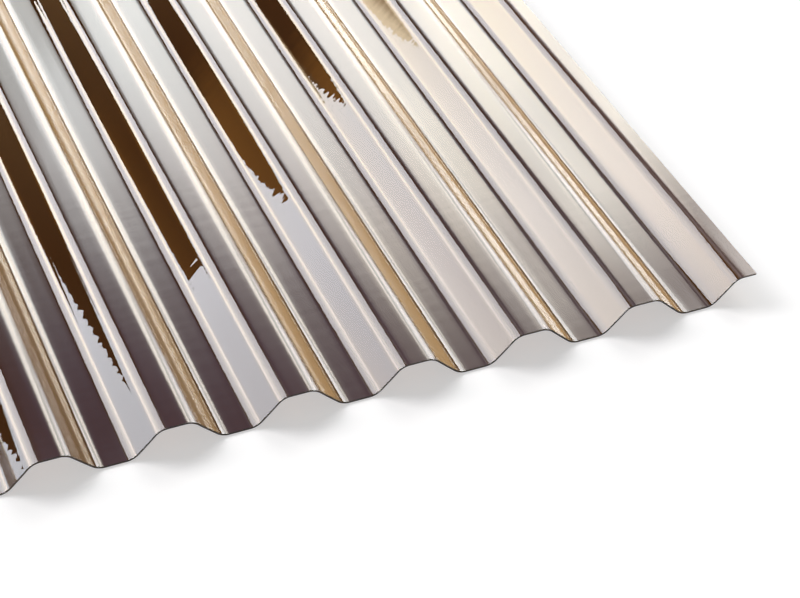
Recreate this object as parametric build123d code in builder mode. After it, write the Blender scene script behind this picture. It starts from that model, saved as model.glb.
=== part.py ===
"""A trapezoidal PVC roofing sheet: one piece of extruded plastic, bent across its width into
straight-sided ribs with rounded bends, cut square at both ends.

X runs across the ribs, Y along them and Z up. The origin is under the middle of the sheet, on
the plane that the undersides of the valleys rest on. All sizes are in millimetres.
"""

import os

from build123d import *

# The sheet as it is sold
sheet_length = 2000.0
sheet_height = 18.0
wall = 1.2

# The rib profile, measured along the middle of the wall between the corners before rounding
pitch = 76.0
crest_width = 20.0
valley_width = 21.6
bend_radius = 11.0

# The sheet starts in a valley and ends on a crest, so that the crest of the next sheet laps it
cover_pitches = 14
valley_lip = 5.1
crest_lip = 2.9

side_run = (pitch - crest_width - valley_width) / 2
low = wall / 2
high = sheet_height - wall / 2

# Across the sheet, counted from the middle of its first valley
first_edge = -valley_lip
last_edge = cover_pitches * pitch + pitch / 2 + crest_lip
middle = (first_edge + last_edge) / 2


def rib_corners(rib):
    """The corners of one rib from its valley up to its crest, and down again if it isn't the last."""
    foot = rib * pitch - middle + valley_width / 2
    shoulder = foot + side_run
    corners = [(foot, low), (shoulder, high)]
    if rib < cover_pitches:
        corners += [(shoulder + crest_width, high), (shoulder + crest_width + side_run, low)]
    return corners


profile = [(first_edge - middle, low)]
for rib in range(cover_pitches + 1):
    profile += rib_corners(rib)
profile += [(last_edge - middle, high)]

with BuildPart() as profiled_sheet:
    with BuildSketch(Plane.XZ):
        with BuildLine():
            FilletPolyline(*profile, radius=bend_radius)
        trace(line_width=wall)
    extrude(amount=sheet_length / 2, both=True)

profiled_sheet.part.label = "profiled_sheet"
os.makedirs("parts", exist_ok=True)
export_step(profiled_sheet.part, "parts/profiled_sheet.step")
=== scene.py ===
"""The looks of a trapezoidal PVC roofing sheet, laid out on a pale floor in a plain studio.

The sheet is one piece of extruded, bronze-tinted PVC. Its visible surface is built here from the
same sizes as the CAD solid, with finer bends, and takes that solid's place. A plastic this glossy
shows mostly what it mirrors, so the softboxes around it have their edges and levels to match.
"""

import math

import bpy
import numpy as np
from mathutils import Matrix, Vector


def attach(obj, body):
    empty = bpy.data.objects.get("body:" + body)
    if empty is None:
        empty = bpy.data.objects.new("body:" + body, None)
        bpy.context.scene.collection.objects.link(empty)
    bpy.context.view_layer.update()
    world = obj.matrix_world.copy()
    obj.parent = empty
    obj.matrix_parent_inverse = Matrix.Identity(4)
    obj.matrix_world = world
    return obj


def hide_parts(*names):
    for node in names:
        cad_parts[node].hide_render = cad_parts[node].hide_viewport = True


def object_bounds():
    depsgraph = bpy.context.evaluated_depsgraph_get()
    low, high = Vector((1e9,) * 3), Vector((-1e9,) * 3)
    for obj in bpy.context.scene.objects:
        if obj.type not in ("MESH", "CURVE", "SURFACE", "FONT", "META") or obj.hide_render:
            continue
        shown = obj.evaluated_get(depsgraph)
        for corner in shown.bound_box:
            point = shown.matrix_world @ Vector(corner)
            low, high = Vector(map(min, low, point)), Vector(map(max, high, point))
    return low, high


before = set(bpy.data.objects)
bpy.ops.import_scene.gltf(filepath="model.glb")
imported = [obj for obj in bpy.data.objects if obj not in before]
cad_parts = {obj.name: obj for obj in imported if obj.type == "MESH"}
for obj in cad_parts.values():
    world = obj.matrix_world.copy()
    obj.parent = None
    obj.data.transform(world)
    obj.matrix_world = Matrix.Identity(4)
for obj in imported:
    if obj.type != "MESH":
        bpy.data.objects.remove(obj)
CAD_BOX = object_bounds()

bl_info = {
    "name": "Trapezoidal PVC Sheet",
    "version": (1, 0, 0),
    "blender": (4, 5, 0),
    "location": "3D View > Sidebar > PVC Sheet",
    "description": "Builds a bronze-tinted trapezoidal PVC sheet and the studio it is shown in",
    "category": "Add Mesh",
}

NODE = "profiled_sheet"

# The mesh: strips along a flat and along a side, and the angle past which an edge is drawn sharp
FLAT_STEPS = 2
SIDE_STEPS = 8
SHARP_ANGLE = math.radians(40)

# The plastic: how long a ripple runs across the sheet, in metres, and how late the haze comes up
RIPPLE_LENGTH = 0.125
HAZE_POWER = 5.0

# The floor, in metres. It lies a little under the valleys, so that the two don't share a plane
FLOOR_REACH = 60.0
FLOOR_GAP = 0.0002
FLOOR_PAINT = "#C4C3C3"

# The cards hang around a point on the front of the sheet, at these distances in metres, so that
# the nearer ones hide the further. Their patterns neither lean at LEVEL_ELEVATION nor climb at
# LEVEL_AZIMUTH, in degrees
CARD_CENTRE = (0.30, -0.80, 0.01)
LEFT_DISTANCE = 16.0
STRIP_DISTANCE = 16.2
BACK_DISTANCE = 16.4
FLAG_DISTANCE = 16.8
LEVEL_ELEVATION = 34
LEVEL_AZIMUTH = 20

WHITE = "#FFFFFF"
# The tone of the painted glow on the black cloth, which glows though it is no lamp
PAINTED_GLOW_AMBER = "#FFAF50"

# The camera, at the photograph's angle: the focal length in pixels of a picture this wide, the
# sensor in millimetres, the end of its view and its place in metres, and how far it looks down and
# to the right, in degrees
PICTURE_WIDTH = 800
FOCAL_PIXELS = 2210.1
SENSOR_WIDTH = 36.0
VIEW_END = 200.0
CAMERA_PLACE = (-0.064886, -1.934317, 0.880613)
CAMERA_DOWN = 38.813
CAMERA_RIGHT = 21.972


class SheetSizes(bpy.types.PropertyGroup):
    """The section of the sheet, measured along the middle of the wall between sharp corners"""

    pitch: bpy.props.FloatProperty(
        name="Pitch", description="Distance from one crest to the next",
        default=0.076, unit="LENGTH")
    rise: bpy.props.FloatProperty(
        name="Rise", description="Height of a crest over a valley",
        default=0.0168, unit="LENGTH")
    crest_width: bpy.props.FloatProperty(
        name="Crest width", description="Width of a crest between its corners",
        default=0.020, unit="LENGTH")
    valley_width: bpy.props.FloatProperty(
        name="Valley width", description="Width of a valley between its corners",
        default=0.0216, unit="LENGTH")
    bend_radius: bpy.props.FloatProperty(
        name="Bend radius", description="Radius of each bend, at the middle of the wall",
        default=0.011, unit="LENGTH")
    wall: bpy.props.FloatProperty(
        name="Wall", description="Thickness of the plastic",
        default=0.0012, unit="LENGTH")
    valley_lip: bpy.props.FloatProperty(
        name="Valley lip", description="How far the left edge goes past the middle of its valley",
        default=0.0051, unit="LENGTH")
    crest_lip: bpy.props.FloatProperty(
        name="Crest lip", description="How far the right edge goes past the middle of its crest",
        default=0.0029, unit="LENGTH")
    bow: bpy.props.FloatProperty(
        name="Bow", description="How much flatter a side is at its foot than at its middle",
        default=math.radians(0.9), unit="ROTATION")
    bend_steps: bpy.props.IntProperty(
        name="Bend steps", description="Strips that make up each bend", default=10, min=4)
    rows: bpy.props.IntProperty(
        name="Rows", description="Rows of faces along the sheet", default=24, min=1)


class SheetFinish(bpy.types.PropertyGroup):
    """The plastic of the sheet"""

    tint: bpy.props.StringProperty(
        name="Tint", description="Colour that the plastic lets through, as an sRGB hex value",
        default="#87551E")
    density: bpy.props.FloatProperty(
        name="Density", description="How much of the other colours is taken up in a metre",
        default=2000.0)
    haze_colour: bpy.props.StringProperty(
        name="Haze colour",
        description="Colour of the haze seen along the surface, as an sRGB hex value",
        default="#F2C68A")
    haze: bpy.props.FloatProperty(
        name="Haze",
        description="How fast the haze comes up as the eye looks more along the surface",
        default=2.9)
    haze_start: bpy.props.FloatProperty(
        name="Haze start",
        description="Share of light left out of the haze, so that none shows from above",
        default=0.06)
    haze_limit: bpy.props.FloatProperty(
        name="Haze limit", description="Largest share of light that the haze scatters",
        default=0.5)
    ior: bpy.props.FloatProperty(
        name="IOR", description="Refraction of rigid PVC", default=1.53)
    ripple_spacing: bpy.props.FloatProperty(
        name="Ripple spacing", description="Distance from one ripple to the next",
        default=0.007, unit="LENGTH")
    ripple_height: bpy.props.FloatProperty(
        name="Ripple height", description="Height of those ripples",
        default=0.00002, unit="LENGTH")


class StudioSettings(bpy.types.PropertyGroup):
    """The floor and the room"""

    ambient: bpy.props.FloatProperty(
        name="Room", description="Radiance of the room where it lights the floor and the sheet",
        default=0.15)
    lift: bpy.props.FloatProperty(
        name="Floor lift", description="Light added to the floor where it is seen, to show white",
        default=0.5)


def linear(code):
    """The linear colour of an sRGB hex value."""
    parts = [int(code[i:i + 2], 16) / 255 for i in (1, 3, 5)]
    return tuple(
        c / 12.92 if c <= 0.04045 else ((c + 0.055) / 1.055) ** 2.4 for c in parts) + (1.0,)


def add_node(tree, kind, links=None, values=None, **settings):
    """Adds a node. Links and values go by an input's name or number, settings by property."""
    node = tree.nodes.new(kind)
    for key, value in settings.items():
        setattr(node, key, value)
    for socket, value in (values or {}).items():
        node.inputs[socket].default_value = value
    for socket, source in (links or {}).items():
        tree.links.new(source, node.inputs[socket])
    return node


def bare_material(name):
    """A new material without nodes, and its node tree."""
    material = bpy.data.materials.new(name)
    material.use_nodes = True
    material.node_tree.nodes.clear()
    return material, material.node_tree


def section(sizes):
    """The stations of the section, across the sheet: their x and z on the middle of the wall, and
    the slope of the wall there.

    The wall is a chain of flats and bends. Its slope is 0 on crests and valleys and changes evenly
    with the length along a bend. A side is pressed a little flatter at its foot than at its top, so
    it is a bend too, of about half a metre's radius. A step along a flat adds length times (cos
    slope, sin slope). A step along a bend adds length over turn times (sin end - sin start, cos
    start - cos end).
    """
    side_run = (sizes.pitch - sizes.crest_width - sizes.valley_width) / 2
    side = math.atan2(sizes.rise, side_run)
    corner = sizes.bend_radius * math.tan(side / 2)
    half_crest = sizes.crest_width / 2 - corner
    half_valley = sizes.valley_width / 2 - corner
    side_flat = math.hypot(side_run, sizes.rise) - 2 * corner
    low, high = CAD_BOX[0][0], CAD_BOX[1][0]
    ribs = round((high - low - sizes.valley_lip - sizes.crest_lip) / sizes.pitch - 0.5)

    # Each run is its length, its slope at the start and at the end, and its steps
    foot, top = side - sizes.bow, side + sizes.bow
    up = [
        (half_valley, 0, 0, FLAT_STEPS),
        (sizes.bend_radius * foot, 0, foot, sizes.bend_steps),
        (side_flat, foot, top, SIDE_STEPS),
        (sizes.bend_radius * top, top, 0, sizes.bend_steps),
        (half_crest, 0, 0, FLAT_STEPS)]
    down = [(length, -end, -start, steps) for length, start, end, steps in reversed(up)]
    first, last = (sizes.valley_lip, 0, 0, FLAT_STEPS), (sizes.crest_lip, 0, 0, FLAT_STEPS)
    runs = [first] + (up + down) * ribs + up + [last]

    lengths = np.concatenate([np.full(steps, length / steps) for length, _, _, steps in runs])
    slopes = [np.linspace(start, end, steps + 1) for _, start, end, steps in runs]
    starts = np.concatenate([run[:-1] for run in slopes])
    ends = np.concatenate([run[1:] for run in slopes])
    turn = ends - starts
    flat = np.abs(turn) < 1e-9
    turn = np.where(flat, 1.0, turn)
    dx = lengths * np.where(flat, np.cos(starts), (np.sin(ends) - np.sin(starts)) / turn)
    dz = lengths * np.where(flat, np.sin(starts), (np.cos(starts) - np.cos(ends)) / turn)
    x = low + np.concatenate([[0], np.cumsum(dx)])
    z = sizes.wall / 2 + np.concatenate([[0], np.cumsum(dz)])
    slope = np.concatenate([starts, [ends[-1]]])
    return x, z, slope


def sheet_mesh(name, sizes):
    """A mesh of the sheet: the section's two faces, half a wall to each side of its middle along
    its normal (-sin slope, cos slope), carried straight along Y and closed by the cut edges."""
    x, z, slope = section(sizes)
    half = sizes.wall / 2
    off_x, off_z = -np.sin(slope) * half, np.cos(slope) * half
    loop_x = np.concatenate([x + off_x, (x - off_x)[::-1]])
    loop_z = np.concatenate([z + off_z, (z - off_z)[::-1]])
    around = len(loop_x)
    y = np.linspace(CAD_BOX[0][1], CAD_BOX[1][1], sizes.rows + 1)
    points = np.empty((sizes.rows + 1, around, 3))
    points[..., 0], points[..., 1], points[..., 2] = loop_x, y[:, None], loop_z

    row = np.arange(sizes.rows)[:, None] * around
    i = np.arange(around)[None, :]
    j = (i + 1) % around
    walls = np.stack([row + i, row + j, row + around + j, row + around + i], axis=-1)
    across = np.arange(around // 2 - 1)
    front = np.stack(
        [across, around - 1 - across, around - 2 - across, across + 1], axis=-1)
    back = front[:, ::-1] + sizes.rows * around
    faces = np.concatenate([walls.reshape(-1, 4), front, back])

    mesh = bpy.data.meshes.new(name)
    mesh.vertices.add(points.size // 3)
    mesh.vertices.foreach_set("co", points.ravel())
    mesh.loops.add(faces.size)
    mesh.loops.foreach_set("vertex_index", faces.ravel())
    mesh.polygons.add(len(faces))
    mesh.polygons.foreach_set("loop_start", np.arange(0, faces.size, 4))
    mesh.polygons.foreach_set("use_smooth", np.ones(len(faces), bool))
    mesh.update(calc_edges=True)
    mesh.set_sharp_from_angle(angle=SHARP_ANGLE)
    mesh.validate()
    return mesh


def extruded_pvc(finish):
    """Clear rigid PVC, tinted bronze in the mass and pressed to shape after the die. It is polished
    like glass, and darker where the eye looks through more of it. Ripples from the haul-off pull
    the edges of reflections into teeth.

    Where the eye looks along the surface, a pale haze in the plastic shows. The share of light that
    goes through clear is 1 + start - haze times facing to the fifth, with facing from 0 straight
    on to 1 along the surface, and is kept between 1 - limit and 1."""
    material, tree = bare_material("Extruded bronze PVC")
    place = add_node(tree, "ShaderNodeTexCoord").outputs["Object"]
    ripple_place = add_node(
        tree, "ShaderNodeMapping", {"Vector": place},
        {"Scale": (1 / RIPPLE_LENGTH, 1 / finish.ripple_spacing, 1 / RIPPLE_LENGTH)})
    ripple = add_node(
        tree, "ShaderNodeTexNoise", {"Vector": ripple_place.outputs["Vector"]},
        {"Scale": 1.0, "Detail": 1.0, "Roughness": 0.4})
    bump = add_node(
        tree, "ShaderNodeBump", {"Height": ripple.outputs["Fac"]},
        {"Strength": 1.0, "Distance": finish.ripple_height})
    facing = add_node(tree, "ShaderNodeLayerWeight", values={"Blend": 0.5}).outputs["Facing"]
    along = add_node(tree, "ShaderNodeMath", {0: facing}, {1: HAZE_POWER}, operation="POWER")
    clear = add_node(
        tree, "ShaderNodeMath", {0: along.outputs[0]}, {1: -finish.haze, 2: 1 + finish.haze_start},
        operation="MULTIPLY_ADD", use_clamp=True)
    through = add_node(
        tree, "ShaderNodeMath", {0: clear.outputs[0]}, {1: 1 - finish.haze_limit},
        operation="MAXIMUM")
    shader = add_node(
        tree, "ShaderNodeBsdfPrincipled",
        {"Normal": bump.outputs["Normal"], "Transmission Weight": through.outputs[0]},
        {"Base Color": linear(finish.haze_colour), "Roughness": 0.0, "IOR": finish.ior})
    absorption = add_node(
        tree, "ShaderNodeVolumeAbsorption",
        values={"Color": linear(finish.tint), "Density": finish.density})
    add_node(
        tree, "ShaderNodeOutputMaterial",
        {"Surface": shader.outputs["BSDF"], "Volume": absorption.outputs["Volume"]})
    return material


def seen_ray(tree):
    """1 for the rays that see a background: from the camera, or off or through the sheet."""
    path = add_node(tree, "ShaderNodeLightPath").outputs
    either = add_node(
        tree, "ShaderNodeMath", {0: path["Is Camera Ray"], 1: path["Is Glossy Ray"]},
        operation="MAXIMUM")
    return add_node(
        tree, "ShaderNodeMath", {0: either.outputs[0], 1: path["Is Transmission Ray"]},
        operation="MAXIMUM").outputs[0]


def painted_board(lift):
    """Board with matt paint. It shows no pattern and keeps the soft shadow, and the light added
    where it is seen makes it white."""
    material, tree = bare_material("Matt white board")
    paint = add_node(tree, "ShaderNodeBsdfDiffuse", values={"Color": linear(FLOOR_PAINT)})
    amount = add_node(tree, "ShaderNodeMath", {0: seen_ray(tree)}, {1: lift}, operation="MULTIPLY")
    glow = add_node(tree, "ShaderNodeEmission", {"Strength": amount.outputs[0]})
    both = add_node(tree, "ShaderNodeAddShader", {0: paint.outputs[0], 1: glow.outputs[0]})
    add_node(tree, "ShaderNodeOutputMaterial", {"Surface": both.outputs[0]})
    return material


def share(angle):
    """An angle from -90 to 90 degrees, as a share from 0 to 1."""
    return angle / 180 + 0.5


def toned(tone, *stops):
    """The stops, each an angle in degrees and a level, with one tone for all."""
    return [(at, level, tone) for at, level in stops]


def glowing_cloth(name, heights, sides):
    """Diffusion cloth, which glows evenly and shows no weave from afar. The light is the product of
    two lists: its radiance by elevation, and a share by azimuth. Each entry is the angle in
    degrees, the level and a tone."""
    material, tree = bare_material(name)
    uv = add_node(tree, "ShaderNodeTexCoord").outputs["UV"]
    place = add_node(tree, "ShaderNodeSeparateXYZ", {"Vector": uv}).outputs
    colours, peaks = [], []
    for angle, stops in ((place["Y"], heights), (place["X"], sides)):
        peak = max(level for at, level, tone in stops)
        ramp = add_node(tree, "ShaderNodeValToRGB", {"Fac": angle})
        while len(ramp.color_ramp.elements) < len(stops):
            ramp.color_ramp.elements.new(1.0)
        for element, (at, level, tone) in zip(ramp.color_ramp.elements, stops):
            element.position = share(at)
            element.color = tuple(level / peak * c for c in linear(tone)[:3]) + (1,)
        colours.append(ramp.outputs["Color"])
        peaks.append(peak)
    product = add_node(
        tree, "ShaderNodeVectorMath", {0: colours[0], 1: colours[1]}, operation="MULTIPLY")
    light = add_node(
        tree, "ShaderNodeEmission", {"Color": product.outputs["Vector"]},
        {"Strength": peaks[0] * peaks[1]})
    add_node(tree, "ShaderNodeOutputMaterial", {"Surface": light.outputs["Emission"]})
    return material


def upright(azimuth, elevations):
    """The edge of a card that stands upright, as directions at these elevations."""
    return [(azimuth, elevation) for elevation in elevations]


def card(name, cloth, left, right, distance, columns=16, climb=0.0, lean=0.0):
    """A curved card, ruled between its left and right edge. Each edge is a list of directions from
    the centre, as azimuth from +Y towards +X and elevation, in degrees, and both are as long. A
    point in between is the even blend of the two edges' angles. The UV map holds the azimuth, which
    leans with the elevation, and the elevation, less what it climbs with the azimuth, each as a
    share of 90 degrees to either side of 0. No card shows to the camera or casts a shadow."""
    edges = np.array(left, float), np.array(right, float)
    u = np.linspace(0, 1, columns + 1)[None, :, None]
    angles = edges[0][:, None] * (1 - u) + edges[1][:, None] * u
    azimuth, elevation = np.radians(angles[..., 0]), np.radians(angles[..., 1])
    points = np.stack([
        CARD_CENTRE[0] + distance * np.sin(azimuth) * np.cos(elevation),
        CARD_CENTRE[1] + distance * np.cos(azimuth) * np.cos(elevation),
        CARD_CENTRE[2] + distance * np.sin(elevation)], axis=-1).reshape(-1, 3)
    grid = np.arange(len(points)).reshape(len(left), columns + 1)
    faces = np.stack(
        [grid[:-1, :-1], grid[1:, :-1], grid[1:, 1:], grid[:-1, 1:]], axis=-1).reshape(-1, 4)
    mesh = bpy.data.meshes.new(name)
    mesh.from_pydata(points.tolist(), [], faces.tolist())
    across = angles[..., 0] + lean * (angles[..., 1] - LEVEL_ELEVATION)
    above = angles[..., 1] - climb * (angles[..., 0] - LEVEL_AZIMUTH)
    shares = share(np.stack([across, above], axis=-1).reshape(-1, 2))
    mesh.uv_layers.new(name="Directions").data.foreach_set("uv", shares[faces.ravel()].ravel())
    mesh.materials.append(cloth)
    obj = bpy.data.objects.new(name, mesh)
    bpy.context.scene.collection.objects.link(obj)
    obj.visible_camera = False
    obj.visible_shadow = False


def lay_floor(lift):
    """A square of painted board, flat under the sheet."""
    mesh = bpy.data.meshes.new("floor")
    mesh.from_pydata(
        [(x * FLOOR_REACH, y * FLOOR_REACH, -FLOOR_GAP)
         for x, y in ((-1, -1), (1, -1), (1, 1), (-1, 1))],
        [], [(0, 1, 2, 3)])
    floor = bpy.data.objects.new("floor", mesh)
    bpy.context.scene.collection.objects.link(floor)
    mesh.materials.append(painted_board(lift))


def hang_left_softbox():
    """The lamp that the facing sides mirror. Their dark streaks end where its ragged right edge
    is. Behind the top of that edge hangs a dimmer, warmer strip, which makes the fifth streak
    pale."""
    cloth = glowing_cloth(
        "Left softbox",
        [(8, 6.5, "#F0F6FF"), (16, 7.2, "#F6F8FF"), (19, 7.9, "#FFFAF9"), (21.5, 9.8, "#FFFAF6"),
         (25, 11.4, "#FFF9F2"), (30, 8.5, "#FAFAFF"), (45, 7.8, "#FAFAFF")],
        toned(WHITE, (-43, 1.0), (-41, 1.05), (-39, 1.17))
        + [(-37, 1.22, "#FFFFFD"), (-35, 1.29, "#FFFEF9"), (-32, 1.38, "#FFFCF0")]
        + toned(WHITE, (-25, 1.1), (-12, 1.0)))
    ragged = [
        (-45, 6.0), (-44, 6.3), (-41.5, 8.1), (-43.2, 9.5), (-40.3, 9.95), (-37.8, 10.3),
        (-39, 11.8), (-39, 14.0), (-37.7, 14.6), (-37.1, 15.3), (-35.8, 15.7), (-35.6, 16.2),
        (-35.2, 16.6), (-34.4, 17.2), (-33.2, 17.6), (-34.0, 18.1), (-33.7, 18.7),
        (-32.9, 19.3), (-31.6, 19.6), (-30.3, 20.6)]
    elevations = [elevation for azimuth, elevation in ragged]
    card("left_softbox_low", cloth, upright(-60, elevations), ragged, LEFT_DISTANCE)
    card(
        "left_softbox_high", cloth,
        upright(-30.3, (12, 16, 20.6)) + upright(-60, (20.6, 24, 28, 32, 36, 43, 47)),
        [(-29, 12), (-28, 16), (-26, 20.6), (-26, 20.6), (-22, 24), (-16, 28), (-10, 32),
         (-6, 36), (-3, 43), (-3, 47)],
        LEFT_DISTANCE, columns=32)

    strip_cloth = glowing_cloth(
        "Softbox edge",
        [(17.2, 0.2, "#FFC47C"), (18.0, 1.6, "#FFD79E"), (18.6, 6.6, "#FFE6BE"),
         (19.2, 9.4, "#FFEBC8"), (20.6, 10.2, "#FFEBC8")],
        toned(WHITE, (-36, 1.0), (-29, 1.0)))
    elevations = (17.2, 19, 20.7)
    card(
        "left_softbox_edge", strip_cloth, upright(-35, elevations), upright(-29.5, elevations),
        STRIP_DISTANCE)


def hang_back_softbox():
    """The lamp that the crests and valleys mirror. It fades towards its top, so they darken towards
    the cut edge, and less on the right."""
    cloth = glowing_cloth(
        "Back softbox",
        toned(WHITE, (3, 3.5), (6, 5.0), (10, 8.5))
        + [(16, 9.3, "#FFFFFD"), (31.4, 9.6, "#FFFFFC"), (33.2, 9.0, "#FFFFFC"),
           (34.8, 8.0, "#FFFEFC"), (35.9, 6.8, "#FFFDFC"), (36.8, 5.3, "#FFFDFD"),
           (37.9, 4.0, "#FDFDFF"), (38.6, 2.9, "#F6F8FF"), (39.6, 1.9, "#EEF2FF"),
           (40.5, 1.45, "#E1E9FF"), (41.2, 1.15, "#D2DDFF"), (42.3, 0.8, "#B8CBFF"),
           (43.5, 0.6, "#9CBAFF"), (45, 0.9, "#B8CBFF"), (46.5, 1.7, "#E1E9FF"),
           (48, 1.9, "#F6F8FF")],
        toned("#F6FCFF", (-2, 0.35), (6, 0.42), (9.7, 0.56), (10.75, 0.84))
        + [(12.5, 0.93, "#F8FDFF"), (18, 0.95, WHITE), (21.5, 1.0, "#FFFEFB"),
           (23, 1.13, "#FFFCF5"), (25.5, 1.13, "#FFFCF3"), (27, 1.02, "#FFFDF8"),
           (29.5, 1.16, "#FFFDF6"), (31.4, 0.84, "#FFFDF8")]
        + toned(WHITE, (33.3, 0.5), (35.5, 0.85), (38, 0.95), (41, 0.8), (44, 0.7)))
    card(
        "back_softbox", cloth,
        upright(-1, (0.1, 14, 28, 38)) + upright(-1.5, (45, 50)),
        upright(52, (0.1, 14, 28, 38, 45, 50)),
        BACK_DISTANCE, columns=32, climb=0.15, lean=0.25)


def hang_flag():
    """The black cloth behind the softboxes, which the dark streaks mirror. Black cloth takes up
    nearly all light. The amber glow on its left is painted light: the cloth itself glows there,
    standing in for light from the lamps beside it."""
    # The amber rows are a painted glow: emission on the black cloth standing in for lamplight
    # falling on it
    cloth = glowing_cloth(
        "Black cloth",
        toned(PAINTED_GLOW_AMBER, (9.5, 0.0), (11.6, 0.15), (13, 0.5), (15, 1.0), (17, 1.3), (18, 1.5),
              (21, 0.0)),
        toned(WHITE, (-40, 0.7), (-37.5, 0.85), (-35, 1.0), (-34, 0.9), (-33.2, 0.35),
              (-32.6, 0.0)))
    elevations = (0.1, 14, 28, 40, 52)
    card("black_flag", cloth, upright(-62, elevations), upright(4, elevations), FLAG_DISTANCE)


def light_room(scene, ambient):
    """A white room, dimmer where it lights than where it is seen."""
    world = bpy.data.worlds.new("Studio room")
    scene.world = world
    world.use_nodes = True
    tree = world.node_tree
    tree.nodes.clear()
    level = add_node(
        tree, "ShaderNodeMapRange", {"Value": seen_ray(tree)}, {"To Min": ambient, "To Max": 1.0})
    room = add_node(
        tree, "ShaderNodeBackground", {"Strength": level.outputs[0]}, {"Color": (1, 1, 1, 1)})
    add_node(tree, "ShaderNodeOutputWorld", {"Surface": room.outputs[0]})


def place_camera(scene):
    """The camera, at the photograph's angle."""
    data = bpy.data.cameras.new("camera")
    data.sensor_width = SENSOR_WIDTH
    data.lens = FOCAL_PIXELS / PICTURE_WIDTH * SENSOR_WIDTH
    data.clip_end = VIEW_END
    camera = bpy.data.objects.new("camera", data)
    scene.collection.objects.link(camera)
    camera.location = CAMERA_PLACE
    camera.rotation_euler = (
        math.radians(90 - CAMERA_DOWN), 0.0, math.radians(-CAMERA_RIGHT))
    scene.camera = camera


class SHEET_OT_build_sheet(bpy.types.Operator):
    """Build the profiled sheet and give it its plastic"""

    bl_idname = "pvc_sheet.build_sheet"
    bl_label = "Profiled Sheet"

    def execute(self, context):
        mesh = sheet_mesh("ribbed_sheet", context.scene.pvc_sheet_sizes)
        sheet = bpy.data.objects.new("ribbed_sheet", mesh)
        context.scene.collection.objects.link(sheet)
        mesh.materials.append(extruded_pvc(context.scene.pvc_sheet_finish))
        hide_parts(NODE)
        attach(sheet, "root")
        return {"FINISHED"}


class SHEET_OT_set_studio(bpy.types.Operator):
    """Lay the floor, hang the softboxes and place the camera"""

    bl_idname = "pvc_sheet.set_studio"
    bl_label = "Studio"

    def execute(self, context):
        scene = context.scene
        studio = scene.pvc_sheet_studio
        lay_floor(studio.lift)
        hang_left_softbox()
        hang_back_softbox()
        hang_flag()
        light_room(scene, studio.ambient)
        place_camera(scene)
        scene.view_settings.view_transform = "Standard"
        return {"FINISHED"}


class SHEET_PT_panel(bpy.types.Panel):
    """Lists the pieces of the sheet and their settings"""

    bl_label = "PVC Sheet"
    bl_idname = "SHEET_PT_panel"
    bl_space_type = "VIEW_3D"
    bl_region_type = "UI"
    bl_category = "PVC Sheet"

    def draw(self, context):
        for group, operator in (
                ("pvc_sheet_sizes", None),
                ("pvc_sheet_finish", "pvc_sheet.build_sheet"),
                ("pvc_sheet_studio", "pvc_sheet.set_studio")):
            settings = getattr(context.scene, group)
            column = self.layout.column()
            for name in settings.__annotations__:
                column.prop(settings, name)
            if operator:
                column.operator(operator)


GROUPS = {
    "pvc_sheet_sizes": SheetSizes,
    "pvc_sheet_finish": SheetFinish,
    "pvc_sheet_studio": StudioSettings,
}
CLASSES = (*GROUPS.values(), SHEET_OT_build_sheet, SHEET_OT_set_studio, SHEET_PT_panel)


def register():
    for cls in CLASSES:
        bpy.utils.register_class(cls)
    for name, group in GROUPS.items():
        setattr(bpy.types.Scene, name, bpy.props.PointerProperty(type=group))


def unregister():
    for name in GROUPS:
        delattr(bpy.types.Scene, name)
    for cls in reversed(CLASSES):
        bpy.utils.unregister_class(cls)


def main():
    register()
    bpy.ops.pvc_sheet.build_sheet()
    bpy.ops.pvc_sheet.set_studio()


if __name__ == "__main__":
    main()
